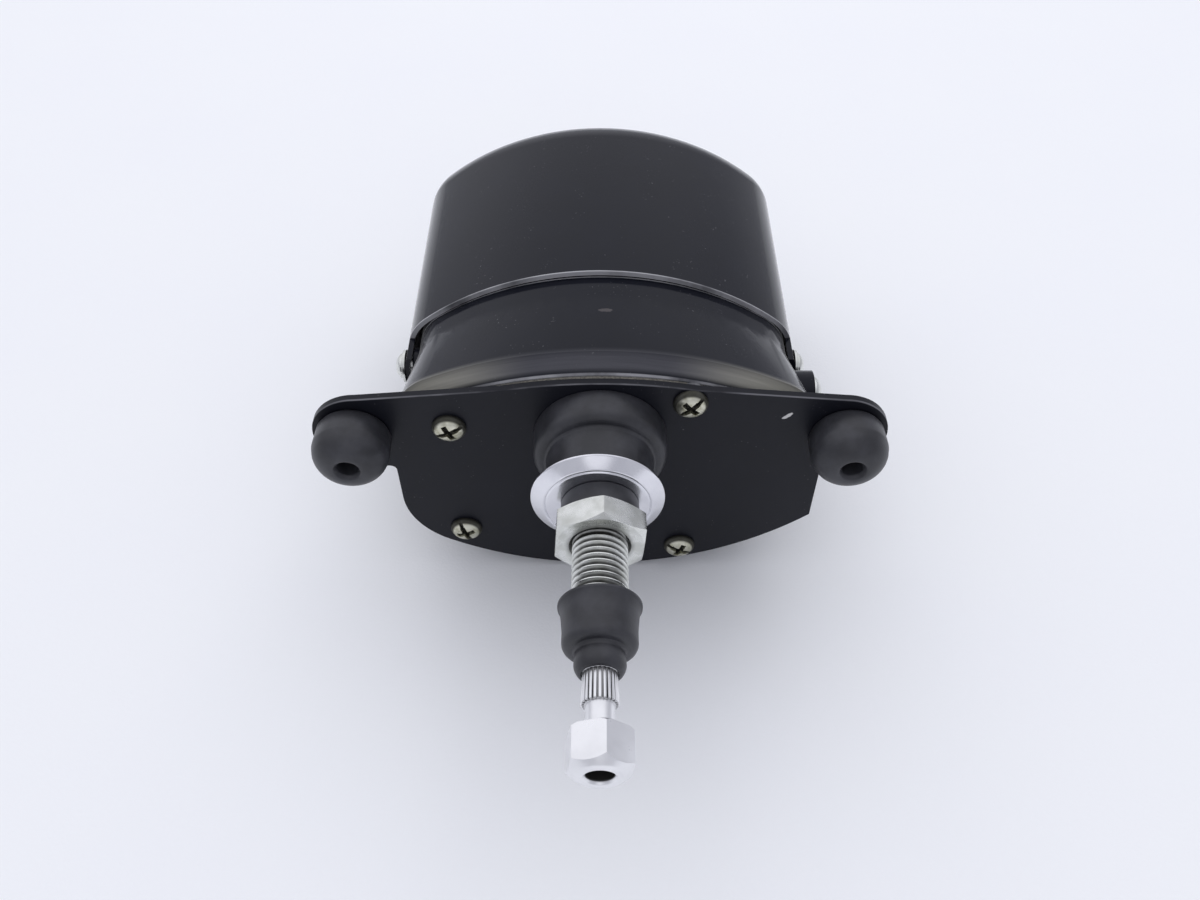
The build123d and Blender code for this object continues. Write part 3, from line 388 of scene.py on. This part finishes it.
# %% One finish for each slot of the record
enamel("black_enamel", rgb(0.0056, 0.0060, 0.0090), roughness=0.34, gloss=0.19, film=0.0,
       marks=(plate_chip, plate_wear_and_highlight))
enamel("can_enamel", rgb(0.0044, 0.0050, 0.0085), roughness=0.08, gloss=0.17, film=0.32,
       marks=(shoulder_sheen_and_dust, flange_wear_and_highlight, rim_rub, case_scratch))
metal("zinc_yellow", rgb(0.66, 0.65, 0.54), rgb(0.40, 0.39, 0.28), roughness=0.24, stain=1.6,
      dirt_and_shade_mask=slot_dirt_and_shade)
metal("zinc", rgb(0.76, 0.77, 0.74), rgb(0.60, 0.61, 0.57), roughness=0.18, stain=3.0, scratch=0.002,
      dirt_and_shade_mask=thread_dirt_and_shade)
metal("bright_steel", rgb(0.88, 0.88, 0.89), rgb(0.80, 0.80, 0.81), roughness=0.20, scratch=0.006,
      dirt_and_shade_mask=knurl_dirt_and_shade)
metal("dark_steel", rgb(0.36, 0.36, 0.37), rgb(0.22, 0.21, 0.20), roughness=0.34)
metal("chrome_plate", rgb(0.82, 0.82, 0.85), rgb(0.70, 0.70, 0.74), roughness=0.08, stain=9.0,
      scratch=0.001)
rubber("rubber_black", rgb(0.0200, 0.0204, 0.0240))
matt("gasket_paper", rgb(0.15, 0.14, 0.12), rgb(0.08, 0.075, 0.065), size=0.5, roughness=0.8, relief=0.03)
matt("bronze", rgb(0.55, 0.36, 0.17), rgb(0.34, 0.21, 0.10), size=0.25, roughness=0.38, relief=0.02,
     metallic=1.0)
metal("brass_strip", rgb(0.78, 0.60, 0.26), rgb(0.60, 0.43, 0.17), roughness=0.28)
metal("copper", rgb(0.72, 0.33, 0.17), rgb(0.50, 0.20, 0.09), roughness=0.30, grain=(1, 9, 1), scratch=0.05)
matt("nylon", rgb(0.78, 0.75, 0.66), rgb(0.70, 0.66, 0.56), size=3.0, roughness=0.42, relief=0.01)
matt("ferrite", rgb(0.075, 0.075, 0.08), rgb(0.045, 0.045, 0.05), size=0.4, roughness=0.62, relief=0.03)
matt("core_steel", rgb(0.30, 0.29, 0.29), rgb(0.12, 0.11, 0.11), size=0.5, roughness=0.40, relief=0.05,
     stretch=(0.02, 1, 0.02), metallic=1.0)
matt("card", rgb(0.36, 0.20, 0.09), rgb(0.26, 0.14, 0.06), size=0.8, roughness=0.6, relief=0.02)
matt("carbon", rgb(0.03, 0.03, 0.032), rgb(0.015, 0.015, 0.017), size=0.2, roughness=0.5, relief=0.01)
print(len(finishes), "finishes")

# %% [markdown]
# Every CAD part first gets the finish that its record names. Parts modelled again below hide theirs.

# %% Dress the CAD parts
slot_of = {part["node"]: part["material_slot"] for part in frame["record"]["subparts"]}
for node, shape in frame["nodes"].items():
    shape.data.materials.clear()
    shape.data.materials.append(finishes[slot_of[node]])
print(len(slot_of), "CAD parts dressed")

# %% [markdown]
# ## Working in edit mode
# An operator acts on whatever is selected. So each helper first clears the selection, and then selects
# corners, edges or faces by where they are.

# %% Helpers
def at(station, x=0.0, z=0.0):
    """Point at a station, x to the right and z up, all given in millimetres."""
    return Vector((x * MM, -station * MM, z * MM))


def frame_middle(node):
    """Middle of a CAD node's box."""
    low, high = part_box(node)
    return (Vector(low) + Vector(high)) / 2


def alone(piece):
    """Make one object the only selected one, in object mode."""
    if bpy.context.object and bpy.context.object.mode != "OBJECT":
        bpy.ops.object.mode_set(mode="OBJECT")
    bpy.ops.object.select_all(action="DESELECT")
    piece.select_set(True)
    bpy.context.view_layer.objects.active = piece


def added(name):
    """Take the primitive just added: name it, and move its place into its mesh."""
    piece = bpy.context.object
    piece.name = name
    bpy.ops.object.transform_apply()
    return piece


def select_edges(piece, wanted):
    """In edit mode, select the edges whose two corners both pass a test."""
    bpy.ops.mesh.select_mode(type="EDGE")
    bpy.ops.mesh.select_all(action="DESELECT")
    mesh = bmesh.from_edit_mesh(piece.data)
    for edge in mesh.edges:
        edge.select_set(all(wanted(corner.co) for corner in edge.verts))
    bmesh.update_edit_mesh(piece.data)


def modified(piece, kind, **settings):
    """Add a modifier, set it and apply it."""
    alone(piece)
    modifier = piece.modifiers.new(kind.title(), kind)
    for setting, value in settings.items():
        setattr(modifier, setting, value)
    bpy.ops.object.modifier_apply(modifier=modifier.name)


def cut(piece, tool, operation="DIFFERENCE"):
    """Boolean with a second piece, which is used up."""
    modified(piece, "BOOLEAN", object=tool, operation=operation, solver="EXACT")
    bpy.data.objects.remove(tool)


def joined(piece, *others):
    """Join pieces into the first one."""
    alone(piece)
    for other in others:
        other.select_set(True)
    bpy.ops.object.join()
    return piece


def copied(piece, name, place=(0, 0, 0), turn=(0, 0, 0), size=1.0):
    """Copy of a piece with its own mesh, enlarged and turned about the origin, then moved to its place."""
    twin = bpy.data.objects.new(name, piece.data.copy())
    bpy.context.scene.collection.objects.link(twin)
    alone(twin)
    twin.scale = (size, size, size)
    twin.rotation_euler = [radians(angle) for angle in turn]
    twin.location = place
    bpy.ops.object.transform_apply()
    return twin


def settle(piece, body, slot, *nodes, angle=35):
    """Smooth the gentle edges, give the piece its finish, and let it ride on its body."""
    alone(piece)
    if angle:
        bpy.ops.object.shade_smooth_by_angle(angle=radians(angle))
    piece.data.materials.clear()
    piece.data.materials.append(finishes[slot])
    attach(piece, body)
    if nodes:
        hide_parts(*nodes)
    print(piece.name, len(piece.data.polygons), "faces")


# %% [markdown]
# ## Lathe work
# The bushes, washers, boot and screw heads are turned parts. A ring is drawn, then extruded and resized
# from one station to the next, like a cut of the lathe. A corner that is rounded on the real part is picked
# by its place and bevelled, which is quicker to tune than drawing the rounding ring by ring.

# %% Turned pieces
WELD = 1e-7
SAME_PLACE = 1e-6
ROUNDING_STEPS = 5


def turned(name, cuts, place=(0.0, 0.0), sides=96):
    """Turn a piece about an axis along the spindle. A cut is (station, radius) or, with a rounded corner,
    (station, radius, rounding). Where the last cut is the first the outline closes, and ends left open are
    filled with a face."""
    bpy.ops.object.select_all(action="DESELECT")
    station, radius, *_ = cuts[0]
    bpy.ops.mesh.primitive_circle_add(vertices=sides, radius=radius * MM, location=at(station, *place),
                                      rotation=(pi / 2, 0, 0))
    piece = added(name)
    bpy.ops.object.mode_set(mode="EDIT")
    bpy.ops.mesh.select_all(action="SELECT")
    for (here, narrow, *_), (there, wide, *_) in zip(cuts, cuts[1:]):
        bpy.ops.mesh.extrude_region_move(TRANSFORM_OT_translate={"value": at(there) - at(here)})
        bpy.ops.transform.resize(value=(wide / narrow, 1, wide / narrow), center_override=at(there, *place))
    bpy.ops.mesh.select_all(action="SELECT")
    bpy.ops.mesh.remove_doubles(threshold=WELD)
    bpy.ops.mesh.fill_holes(sides=0)
    bpy.ops.mesh.select_all(action="SELECT")
    bpy.ops.mesh.normals_make_consistent(inside=False)
    for station, radius, *rounding in cuts[1:]:
        if rounding:
            centre = at(station, *place)
            select_edges(piece, lambda corner: abs(corner.y - centre.y) < SAME_PLACE
                         and abs((corner - centre).length - radius * MM) < SAME_PLACE)
            bpy.ops.mesh.bevel(offset=rounding[0] * MM, segments=ROUNDING_STEPS, affect="EDGES")
    bpy.ops.object.mode_set(mode="OBJECT")
    return piece


# %% [markdown]
# ### Stepped rubber bush
# It seals the hole in the bulkhead. It is moulded, so all its corners are soft, and its foot is thicker than
# the tier that the washer presses on.

# %% Stepped bush
bush = turned("stepped_bush_rubber", [
    (2.5, 10.1), (0, 10.1), (0, 15.5, 0.3), (8, 15.3, 2.5), (8, 12.3, 0.8), (19.25, 11.7, 0.9), (19.25, 6.1),
    (2.5, 6.1), (2.5, 10.1)])
settle(bush, "housing", "rubber_black", "stepped_bush")

# %% [markdown]
# ### Washer and seal
# The washer is pressed from sheet and chromed. Its middle is flat, a crease runs round it, and the band
# outside the crease leans back towards the bush, which is why its top catches the light. It hangs a little
# off centre on the sleeve. The reflections show every flaw in such a shape, so it has more sides.

# %% Dished washer
WASHER_HANG = (-0.5, -0.4)
washer = turned("dished_washer_chrome", [
    (19.32, 6.72), (19.32, 11.7, 0.2), (17.95, 14.6, 0.1), (18.1, 15.0, 0.1), (18.5, 14.9, 0.2),
    (20.35, 12.3, 0.2), (20.4, 11.9, 0.1), (20.15, 11.7, 0.1), (20.45, 11.4, 0.12), (20.5, 10.9),
    (20.5, 6.9, 0.1), (20.3, 6.72), (19.32, 6.72)], place=WASHER_HANG, sides=160)
settle(washer, "housing", "chrome_plate", "dished_washer")

# %% Seal ring
seal = turned("seal_ring_rubber", [
    (20.52, 6.1), (20.52, 8.6, 0.4), (24.0, 8.7), (25.55, 8.7, 0.5), (25.55, 6.1), (20.52, 6.1)])
settle(seal, "housing", "rubber_black", "seal_ring")

# %% [markdown]
# ### Buffers
# Each ear of the mounting plate carries a rubber buffer: an upright side, a crease, a round dome and a hole
# for a bolt. One is turned, and the other is its copy.

# %% Buffers
BUFFER_X, BUFFER_Z = 57.0, 1.0
DOME_STATION, DOME_RADIUS = 5.7, 2.9
DOME_DEPTH, DOME_WIDTH = 6.0, 5.95
dome = [(DOME_STATION + DOME_DEPTH * sin(radians(turn)), DOME_RADIUS + DOME_WIDTH * cos(radians(turn)))
        for turn in range(21, 82, 6)]
left_buffer = turned("buffer_left_dome", [
    (-5, 2.4), (-5, 4.0, 0.3), (-3.4, 4.9, 0.4), (-2, 5.0), (-2, 4.0), (0, 4.0), (0, 8.1, 0.4), (1.2, 8.7),
    (6.1, 8.88, 0.3), *dome, (11.6, 3.1, 0.2), (10.6, 2.45, 0.2), (-5, 2.4)], place=(-BUFFER_X, BUFFER_Z))
right_buffer = copied(left_buffer, "buffer_right_dome", place=(2 * BUFFER_X * MM, 0, 0))
settle(left_buffer, "housing", "rubber_black", "buffer_left", angle=50)
settle(right_buffer, "housing", "rubber_black", "buffer_right", angle=50)

# %% [markdown]
# ### Spindle boot
# The boot slips over the end of the threaded sleeve and keeps water off the spindle. Its open end has a thin
# lip, its body is nearly straight, and its nose grips the spindle.

# %% Boot
boot = turned("spindle_boot_rubber", [
    (46.6, 6.1), (46.6, 8.3, 0.1), (46.8, 8.75, 0.1), (47.3, 8.72, 0.1), (47.7, 8.3), (49.6, 8.0),
    (53.0, 7.7), (57.15, 7.75, 1.7), (57.3, 5.4, 0.15), (57.9, 5.0, 0.3), (58.8, 5.15), (60.9, 5.3, 0.8),
    (62.35, 4.4, 0.4), (62.35, 3.8), (54.6, 3.8), (54.6, 5.5), (52.0, 5.5), (52.0, 6.1), (46.6, 6.1)])
settle(boot, "housing", "rubber_black", "spindle_boot", angle=50)

# %% [markdown]
# ## The threaded sleeve
# A screw thread is one ridge wound round a core. The ridge's section is drawn once and wound by the Screw
# modifier, whose offset is the pitch. Core and ridge overlap, so no joint shows between them.

# %% Thread
STEPS_PER_TURN = 48
CREST_FROM, CREST_TO = 0.42, 0.58


def wound_ridge(name, back, front, core, crest, pitch):
    """Thread ridge between two stations, with a narrow flat crest."""
    bpy.ops.object.select_all(action="DESELECT")
    bpy.ops.mesh.primitive_plane_add(size=1)
    piece = added(name)
    bpy.ops.object.mode_set(mode="EDIT")
    mesh = bmesh.from_edit_mesh(piece.data)
    mesh.verts.ensure_lookup_table()
    corners = [mesh.verts[number] for number in (0, 1, 3, 2)]
    section = ((core, 0.0), (crest, CREST_FROM * pitch), (crest, CREST_TO * pitch), (core, pitch))
    for corner, (radius, along) in zip(corners, section):
        corner.co = at(back + along, radius)
    bmesh.update_edit_mesh(piece.data)
    bpy.ops.object.mode_set(mode="OBJECT")
    modified(piece, "SCREW", axis="Y", angle=2 * pi, steps=STEPS_PER_TURN, render_steps=STEPS_PER_TURN,
             screw_offset=-pitch * MM, iterations=int((front - back) / pitch) - 1, use_normal_calculate=True)
    bpy.ops.object.mode_set(mode="EDIT")
    bpy.ops.mesh.select_all(action="SELECT")
    bpy.ops.mesh.remove_doubles(threshold=WELD)
    bpy.ops.mesh.fill_holes(sides=0)
    bpy.ops.mesh.normals_make_consistent(inside=False)
    bpy.ops.object.mode_set(mode="OBJECT")
    return piece


sleeve = turned("threaded_sleeve_core", [
    (-2, 4.5), (-2, 7.0), (0, 7.0), (0, 10.0), (2.5, 10.0), (2.5, 5.12), (51.6, 5.12, 0.3), (52.0, 4.8),
    (52.0, 4.5), (-2, 4.5)])
ridge = wound_ridge("sleeve_ridge", back=2.6, front=51.8, core=5.05, crest=6.0, pitch=1.5)
sleeve = joined(sleeve, ridge)
sleeve.name = "sleeve_thread"
settle(sleeve, "housing", "zinc", "threaded_sleeve")

# %% [markdown]
# ## Nuts
# A hexagon bar is turned down at its corners before it is cut off, which leaves the curved edges that a nut's
# chamfer has. So the nut here is a hexagon intersected with a turned blank.

# %% Hexagon nuts
NUT_EDGE = 0.15


def nut(name, back, front, flats, turn, blank):
    """Hexagon between two stations, this wide across its flats, kept only inside a turned blank."""
    bpy.ops.object.select_all(action="DESELECT")
    bpy.ops.mesh.primitive_cylinder_add(vertices=6, radius=flats / sqrt(3) * MM, depth=(front - back) * MM,
                                        location=at((back + front) / 2), rotation=(pi / 2, radians(turn), 0))
    piece = added(name)
    modified(piece, "BEVEL", width=NUT_EDGE * MM, segments=2, limit_method="ANGLE")
    cut(piece, turned("blank", blank), "INTERSECT")
    return piece


lock_nut = nut("sleeve_nut_hexagon", back=25.6, front=31.6, flats=19.0, turn=4.0, blank=[
    (25.6, 6.05), (25.6, 9.3), (26.5, 11.2), (30.6, 11.2), (31.6, 9.4, 0.1), (31.6, 6.7), (30.9, 6.05),
    (25.6, 6.05)])
settle(lock_nut, "housing", "zinc", "sleeve_nut", angle=25)

arm_nut = nut("arm_nut_hexagon", back=74.4, front=83.2, flats=12.0, turn=10.0, blank=[
    (74.4, 2.75), (74.4, 6.3), (75.0, 6.95), (81.3, 6.95), (83.2, 4.7, 0.5), (83.2, 3.2, 0.2), (82.6, 2.75),
    (74.4, 2.75)])
settle(arm_nut, "output", "bright_steel", "arm_nut", angle=25)

# %% [markdown]
# ## Spindle
# The knurl bites into the wiper arm's hub. Its ridges are pressed in, so they are rounded, and the knurl
# narrows a little towards its front end. One ridge is made, and 24 copies of it go round the shank.

# %% Spindle with its knurl
RIDGES = 24
RIDGE_STATION, RIDGE_RADIUS = 65.5, 3.3
RIDGE_WIDTH, RIDGE_LENGTH, RIDGE_HEIGHT = 0.60, 6.7, 0.72
RIDGE_SLOPE = -2.6
RIDGE_EDGE = 0.17

shank = turned("spindle_shank", [
    (-8.15, 3.3), (-7.8, 3.7), (62.0, 3.7), (62.3, 3.42), (68.9, 3.12), (69.0, 2.95), (74.4, 2.95),
    (74.4, 2.5), (79.0, 2.5), (79.4, 2.1)])
bpy.ops.object.select_all(action="DESELECT")
bpy.ops.mesh.primitive_cube_add(size=1, location=at(RIDGE_STATION, 0, RIDGE_RADIUS),
                                rotation=(radians(RIDGE_SLOPE), 0, 0),
                                scale=(RIDGE_WIDTH * MM, RIDGE_LENGTH * MM, RIDGE_HEIGHT * MM))
first_ridge = added("ridge")
modified(first_ridge, "BEVEL", width=RIDGE_EDGE * MM, segments=2)
ridges = [copied(first_ridge, "ridge_copy", turn=(0, 360 / RIDGES * step, 0)) for step in range(RIDGES)]
bpy.data.objects.remove(first_ridge)
stud = wound_ridge("stud_ridge", back=74.6, front=79.2, core=2.45, crest=2.7, pitch=0.7)
spindle = joined(shank, stud, *ridges)
spindle.name = "spindle_knurled"
settle(spindle, "output", "bright_steel", "spindle")

# %% [markdown]
# ## Screws
# A pan head has a straight slot and a cross, so that either driver turns it. One screw is turned on the axis
# and cut, and copies of it go where the CAD screws are, each turned as it happened to stop. The screws in
# the cover's flanks are the same shape, four fifths as large, and they and the earth screw face sideways.

# %% One screw
def bar(name, size, centre, turn):
    """Block for cutting a slot, turned about Y."""
    bpy.ops.object.select_all(action="DESELECT")
    bpy.ops.mesh.primitive_cube_add(size=1, location=centre, rotation=(0, radians(turn), 0),
                                    scale=[MM * side for side in size])
    return added(name)


HEAD, RISE = 4.0, 2.4
SLOT_SIZE, CROSS_SIZE, PIT_SIZE = (2.4 * HEAD, 2.4, 1.0), (4.6, 4.0, 1.35), (1.9, 4.4, 1.9)
SCREW_EDGE = 0.09

first_screw = turned("first_screw", [
    (-9.0, 1.4), (-8.4, 1.95), (0, 1.95), (0, 3.9), (0.3, HEAD), (0.9, 3.95, 0.3), (1.75, 3.1, 0.5),
    (2.2, 2.1, 0.5), (RISE, 1.0)], sides=64)
cut(first_screw, bar("slot", SLOT_SIZE, at(RISE), 0))
for turn in (0, 90):
    cut(first_screw, bar("cross", CROSS_SIZE, at(RISE), turn))
cut(first_screw, bar("pit", PIT_SIZE, at(RISE), 45))
modified(first_screw, "BEVEL", width=SCREW_EDGE * MM, segments=2, limit_method="ANGLE")
print("a screw has", len(first_screw.data.polygons), "faces")

# %% Screws of the plate
PLATE_SCREWS = ((-34.8, 3.3, -26), (20.4, 11.3, -45), (-34.4, -35.0, 71), (20.8, -42.4, 27))
for number, (x, z, turn) in enumerate(PLATE_SCREWS, 1):
    plate_screw = copied(first_screw, f"plate_screw_{number}", at(0, x, z), (0, turn, 0))
    settle(plate_screw, "housing", "zinc_yellow", "plate_screws")

# %% Screws of the cover, with their washers
def facing(side):
    """Turn that points a piece made along the spindle to the left (-1) or the right (+1)."""
    return (0, 0, 90 * side)


FLANK = 49.0
WASHER = 0.8
SMALLER = 0.8
first_washer = turned("first_washer", [
    (0, 1.9), (0, 4.15, 0.12), (WASHER, 4.15, 0.2), (WASHER, 1.9), (0, 1.9)], sides=64)
lug = frame_middle("can_screws")
for name, side in (("left", -1), ("right", 1)):
    place = Vector((side * FLANK * MM, lug.y, lug.z))
    ring = copied(first_washer, f"can_screw_washer_{name}", place, facing(side))
    settle(ring, "housing", "zinc", "can_screw_washers")
    reach = Vector((side * WASHER * MM, 0, 0))
    can_screw = copied(first_screw, f"can_screw_{name}", place + reach, facing(side), SMALLER)
    settle(can_screw, "housing", "zinc", "can_screws")

# %% Earth screw
EARTH_PAD = 52.0
earth = frame_middle("earth_screw")
place = Vector((EARTH_PAD * MM, earth.y, earth.z))
earth_screw = copied(first_screw, "earth_screw_head", place, facing(1))
settle(earth_screw, "housing", "zinc", "earth_screw")
for pattern in (first_screw, first_washer):
    bpy.data.objects.remove(pattern)

# %% [markdown]
# ## Grommet
# The supply lead leaves through a rubber grommet in the back of the cover. Its two flanges hold the sheet
# between them, and its outer one is rounded.

# %% Grommet
low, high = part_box("lead_grommet")
GROMMET = ((low[0] + high[0]) / 2 / MM, (low[2] + high[2]) / 2 / MM)
BACK = -high[1] / MM
grommet = turned("lead_grommet_rubber", [
    (BACK, 2.5), (BACK, 5.3, 0.7), (BACK + 1.5, 5.5), (BACK + 1.5, 4.0), (BACK + 2.7, 4.0),
    (BACK + 2.7, 5.5, 0.3), (BACK + 4.2, 5.0, 0.4), (BACK + 4.2, 2.5), (BACK, 2.5)], place=GROMMET, sides=64)
settle(grommet, "housing", "rubber_black", "lead_grommet")

# %% [markdown]
# ## Sheet metal
# The plate, the case and the cover have the right shape in CAD, but knife edges, which catch no light. A
# copy of each is welded, its flat faces are made whole, and its sharp edges are rounded a little.

# %% Soft edges for the sheet metal
STILL_FLAT, STILL_SHARP, STILL_SMOOTH = radians(0.5), radians(40), radians(30)


def eased(node, name, edge):
    """Copy of a CAD part with its sharp edges rounded by this many millimetres."""
    piece = bpy.data.objects.new(name, frame["nodes"][node].data.copy())
    bpy.context.scene.collection.objects.link(piece)
    alone(piece)
    bpy.ops.object.mode_set(mode="EDIT")
    bpy.ops.mesh.select_all(action="SELECT")
    bpy.ops.mesh.remove_doubles(threshold=SAME_PLACE)
    bpy.ops.mesh.dissolve_limited(angle_limit=STILL_FLAT)
    bpy.ops.object.mode_set(mode="OBJECT")
    modified(piece, "BEVEL", width=edge * MM, segments=3, limit_method="ANGLE", angle_limit=STILL_SHARP)
    bpy.ops.object.shade_smooth_by_angle(angle=STILL_SMOOTH)
    modified(piece, "WEIGHTED_NORMAL", keep_sharp=True)
    return piece


for node, name, slot, edge in (("mounting_plate", "plate_enamelled", "black_enamel", 0.35),
                               ("gear_case", "case_enamelled", "can_enamel", 0.3),
                               ("motor_can", "cover_enamelled", "can_enamel", 0.3)):
    settle(eased(node, name, edge), "housing", slot, node, angle=None)

# %% [markdown]
# ## Floor and light
# The motor lies on a white sheet in soft daylight: one large lamp above and behind, a weaker one in front,
# and a pale world. Both lamps stay out of reflections, so the gloss of the paint and the chrome shows only
# the world, with its two brighter regions.

# %% Floor
FLOOR_SIZE, FLOOR_BACK = 12, 0.4
FLOOR_GAP = 0.0002


def white_sheet():
    sheet = Finish(bpy.data.materials.new("floor_white"))
    cloud = sheet.noise(60.0, 3.0)
    tone = sheet.mix(cloud, rgb(0.87, 0.88, 0.91), rgb(0.89, 0.90, 0.91))
    return sheet.wear(Base_Color=tone, Roughness=0.8, Normal=sheet.bump(sheet.noise(0.8, 3.0), 0.05))


bpy.ops.object.select_all(action="DESELECT")
bpy.ops.mesh.primitive_plane_add(size=FLOOR_SIZE, location=(0, FLOOR_BACK, cad_box[0].z - FLOOR_GAP))
floor = added("floor")
floor.data.materials.append(white_sheet())
print("the floor lies at", round(cad_box[0].z / MM, 1), "mm")

# %% Lamps
def lamp(name, location, aim, size, power):
    bpy.ops.object.light_add(type="AREA", location=location)
    light = bpy.context.object
    light.name = name
    light.data.size = size
    light.data.energy = power
    light.visible_glossy = False
    light.rotation_euler = (Vector(aim) - Vector(location)).to_track_quat("-Z", "Y").to_euler()
    print(name, "lamp,", power, "W")


lamp("window", location=(0.05, 0.50, 0.95), aim=(0, 0.02, 0), size=1.4, power=3.6)
lamp("front", location=(0.2, -0.9, 0.6), aim=(0, 0, 0), size=0.8, power=0.5)

# %% The room
PALE, BRIGHT = rgb(0.52, 0.53, 0.59), rgb(0.97, 0.98, 1.05)
# A direction, and how closely one has to look along it to see the first and the last of the brightness.
OVERHEAD = ((-0.2, 0.42, 0.885), 0.35, 0.85)
IN_FRONT = ((0, -0.85, 0.53), 0.935, 0.985)


def pale_room():
    """World that is pale all round, brighter overhead and in one patch in front of the motor."""
    room = Finish(bpy.data.worlds.new("pale_room"), "Background", "Generated")
    tone = PALE
    for direction, low, high in (OVERHEAD, IN_FRONT):
        towards = room.node("ShaderNodeVectorMath", {"operation": "DOT_PRODUCT"},
                            {0: room.place, 1: direction}, out="Value")
        tone = room.mix(room.band(towards, low, high), tone, BRIGHT)
    return room.wear(Color=tone, Strength=1.0)


bpy.context.scene.world = pale_room()
bpy.context.scene.view_settings.view_transform = "Standard"
print("world", bpy.context.scene.world.name)
